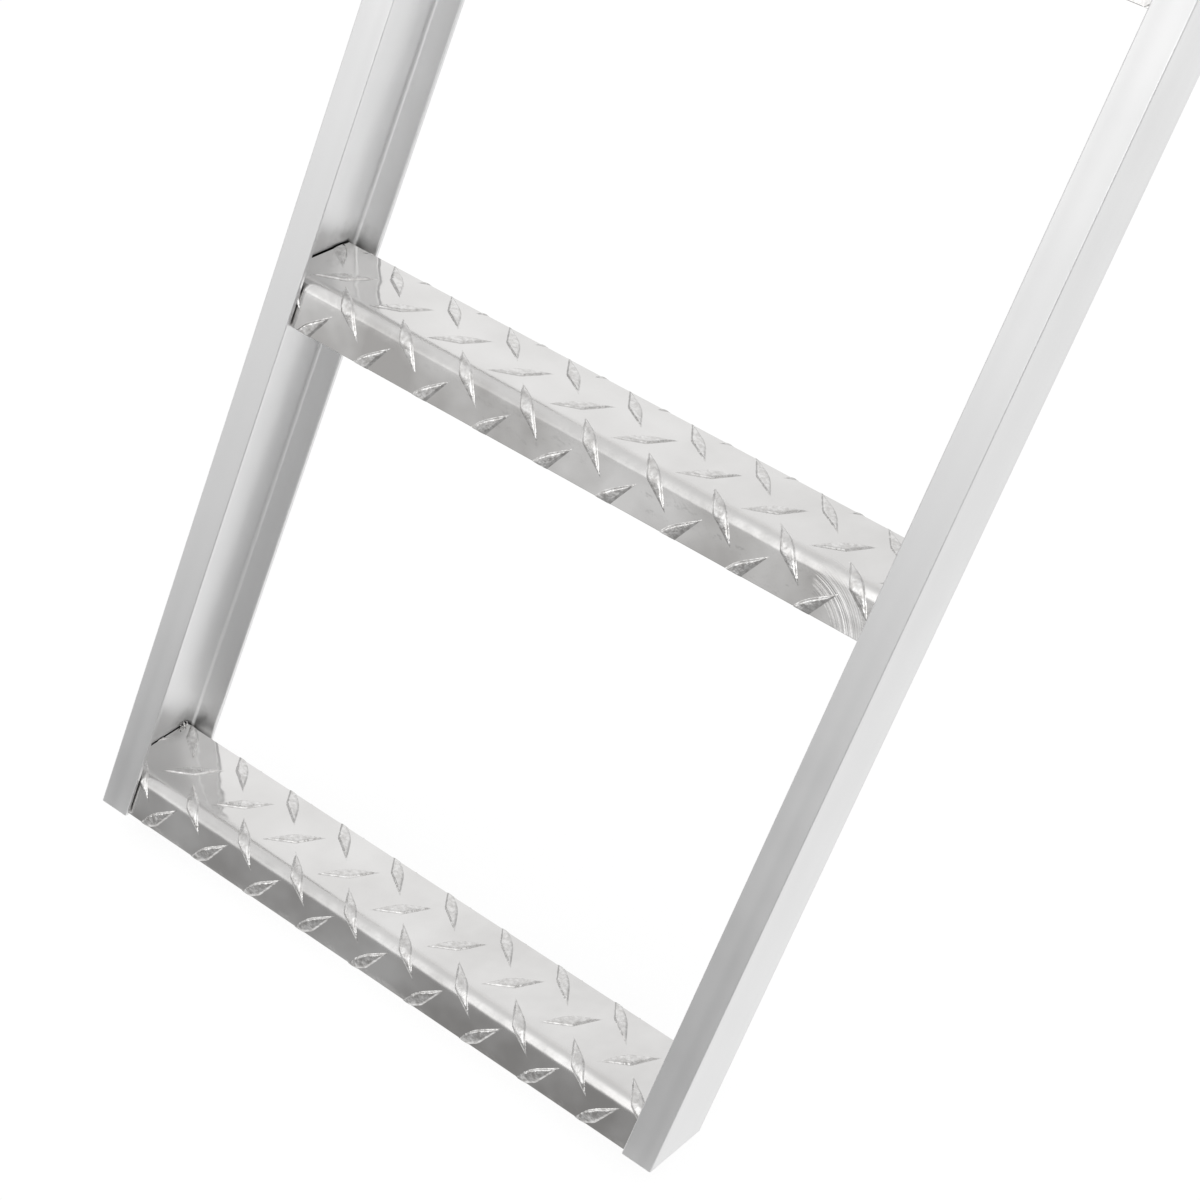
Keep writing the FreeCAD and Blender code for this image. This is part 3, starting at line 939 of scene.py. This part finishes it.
# What each soft edge in the room does: the axis of the direction that it lies across, where it
# starts and ends, and the brightness or share on either side
room = {}
for name, axis, start, end, low, high in (
    # Behind the ladder the wall is brighter on the left
    ("rear_wall", "X", -0.45, 0.45, 0.87, 0.46),
    # In front, a bright wall on the left gives way to a dim strip, and its foot is brighter
    ("left_wall", "X", -0.62, -0.45, 1.4, 0.62),
    ("wall_foot", "X", -0.52, -0.3, 0.2, 0.0),
    ("wall_foot_height", "Z", 0.16, 0.32, 1.0, 0.0),
    # A wide window takes up the right of the front, over its sill
    ("window", "X", -0.4, -0.16, 0.0, 0.9),
    ("sill", "Z", -0.02, 0.2, 0.15, 1.1),
    # Light through a doorway adds to it further right, up to the lintel
    ("doorway", "X", 0.1, 0.4, 0.0, 1.0),
    ("lintel", "Z", 0.15, 0.4, 1.0, 0.0),
    ("front_or_rear", "Y", -0.3, 0.3, 0.0, 1.0),
    # On the right stand the soft boxes, and a lamp above them
    ("right_side", "X", 0.45, 0.62, 0.0, 1.0),
    ("lamp", "Z", 0.45, 0.6, 0.0, 1.0),
    ("lamp_in_front", "Y", 0.05, 0.3, 1.0, 0.0),
    # At the far left a low box stands before a dark wall
    ("far_left", "X", -0.8, -0.68, 1.0, 0.0),
    ("low_box", "Z", 0.35, 0.5, 0.3, 0.0),
    ("low_box_in_front", "Y", -0.08, 0.02, 1.0, 0.0),
    ("ceiling", "Z", 0.66, 1.0, 0.0, 1.0),
    # The room is darker towards its floor
    ("skirting", "Z", -0.06, 0.1, 0.6, 1.0),
):
    edge = add(tree, "ShaderNodeMapRange", {
        "Value": way.outputs[axis], "From Min": start, "From Max": end,
        "To Min": low, "To Max": high,
    }, interpolation_type="SMOOTHSTEP")
    room[name] = edge.outputs["Result"]

opening = add(tree, "ShaderNodeMath", {
    0: room["doorway"], 1: room["lintel"], 2: room["window"],
}, operation="MULTIPLY_ADD")
front_wall = add(tree, "ShaderNodeMath", {
    0: opening.outputs[0], 1: room["sill"], 2: room["left_wall"],
}, operation="MULTIPLY_ADD")
front_wall = add(tree, "ShaderNodeMath", {
    0: room["wall_foot"], 1: room["wall_foot_height"], 2: front_wall.outputs[0],
}, operation="MULTIPLY_ADD")
# The front's light falls off upwards
fall = add(tree, "ShaderNodeMapRange", {
    "Value": way.outputs["Z"], "From Min": 0.1, "From Max": 0.5, "To Min": 1.07, "To Max": 0.9,
})
front_wall = add(tree, "ShaderNodeMath", {
    0: front_wall.outputs[0], 1: fall.outputs["Result"],
}, operation="MULTIPLY")
walls = add(tree, "ShaderNodeMix", {
    "Factor": room["front_or_rear"], "A": front_wall.outputs[0], "B": room["rear_wall"],
}, data_type="FLOAT")
# Of the two soft boxes one is low and beside the ladder, and one is high and before it
high = add(tree, "ShaderNodeMath", {0: way.outputs["Z"], 1: 0.28}, operation="SUBTRACT")
before = add(tree, "ShaderNodeMath", {0: -0.4, 1: way.outputs["Y"]}, operation="SUBTRACT")
boxes = add(tree, "ShaderNodeMath", {
    0: high.outputs[0], 1: before.outputs[0],
}, operation="MULTIPLY")
boxes = add(tree, "ShaderNodeMapRange", {
    "Value": boxes.outputs[0], "From Min": -0.008, "From Max": 0.012,
    "To Min": 0.45, "To Max": 0.98,
}, interpolation_type="SMOOTHSTEP")
lamp = add(tree, "ShaderNodeMath", {
    0: room["lamp"], 1: room["lamp_in_front"],
}, operation="MULTIPLY")
boxes = add(tree, "ShaderNodeMath", {
    0: boxes.outputs["Result"], 1: lamp.outputs[0],
}, operation="MAXIMUM")
low_box = add(tree, "ShaderNodeMath", {
    0: room["low_box"], 1: room["low_box_in_front"], 2: 0.5,
}, operation="MULTIPLY_ADD")
strength = walls.outputs["Result"]
for share, shows in (
    (room["right_side"], boxes.outputs[0]),
    (room["far_left"], low_box.outputs[0]),
    (room["ceiling"], 0.68),
):
    strength = add(tree, "ShaderNodeMix", {
        "Factor": share, "A": strength, "B": shows,
    }, data_type="FLOAT").outputs["Result"]
strength = add(tree, "ShaderNodeMath", {0: strength, 1: room["skirting"]}, operation="MULTIPLY")
soft = add(tree, "ShaderNodeBackground", {"Color": (1, 1, 1, 1), "Strength": strength.outputs[0]})
plain = add(tree, "ShaderNodeBackground", {"Color": (1, 1, 1, 1), "Strength": 1.0})
mix = add(tree, "ShaderNodeMixShader", {
    0: rays.outputs["Is Camera Ray"], 1: soft.outputs["Background"], 2: plain.outputs["Background"],
})
add(tree, "ShaderNodeOutputWorld", {"Surface": mix.outputs["Shader"]})

# The camera stands where the photograph was taken from
CAMERA_AT = (0.39849, -1.19011, -0.61562)
CAMERA_TURN = (0.8324347, 0.4636114, 0.0348297, 0.3015026)
FOCAL_LENGTH = 63.82
SENSOR_WIDTH = 36

lens = bpy.data.cameras.new("camera")
lens.sensor_width = SENSOR_WIDTH
lens.lens = FOCAL_LENGTH
lens.clip_start = 10 * MM
camera = bpy.data.objects.new("camera", lens)
camera.location = CAMERA_AT
camera.rotation_mode = "QUATERNION"
camera.rotation_quaternion = CAMERA_TURN
bpy.context.scene.collection.objects.link(camera)
bpy.context.scene.camera = camera

bpy.context.scene.view_settings.view_transform = "Standard"
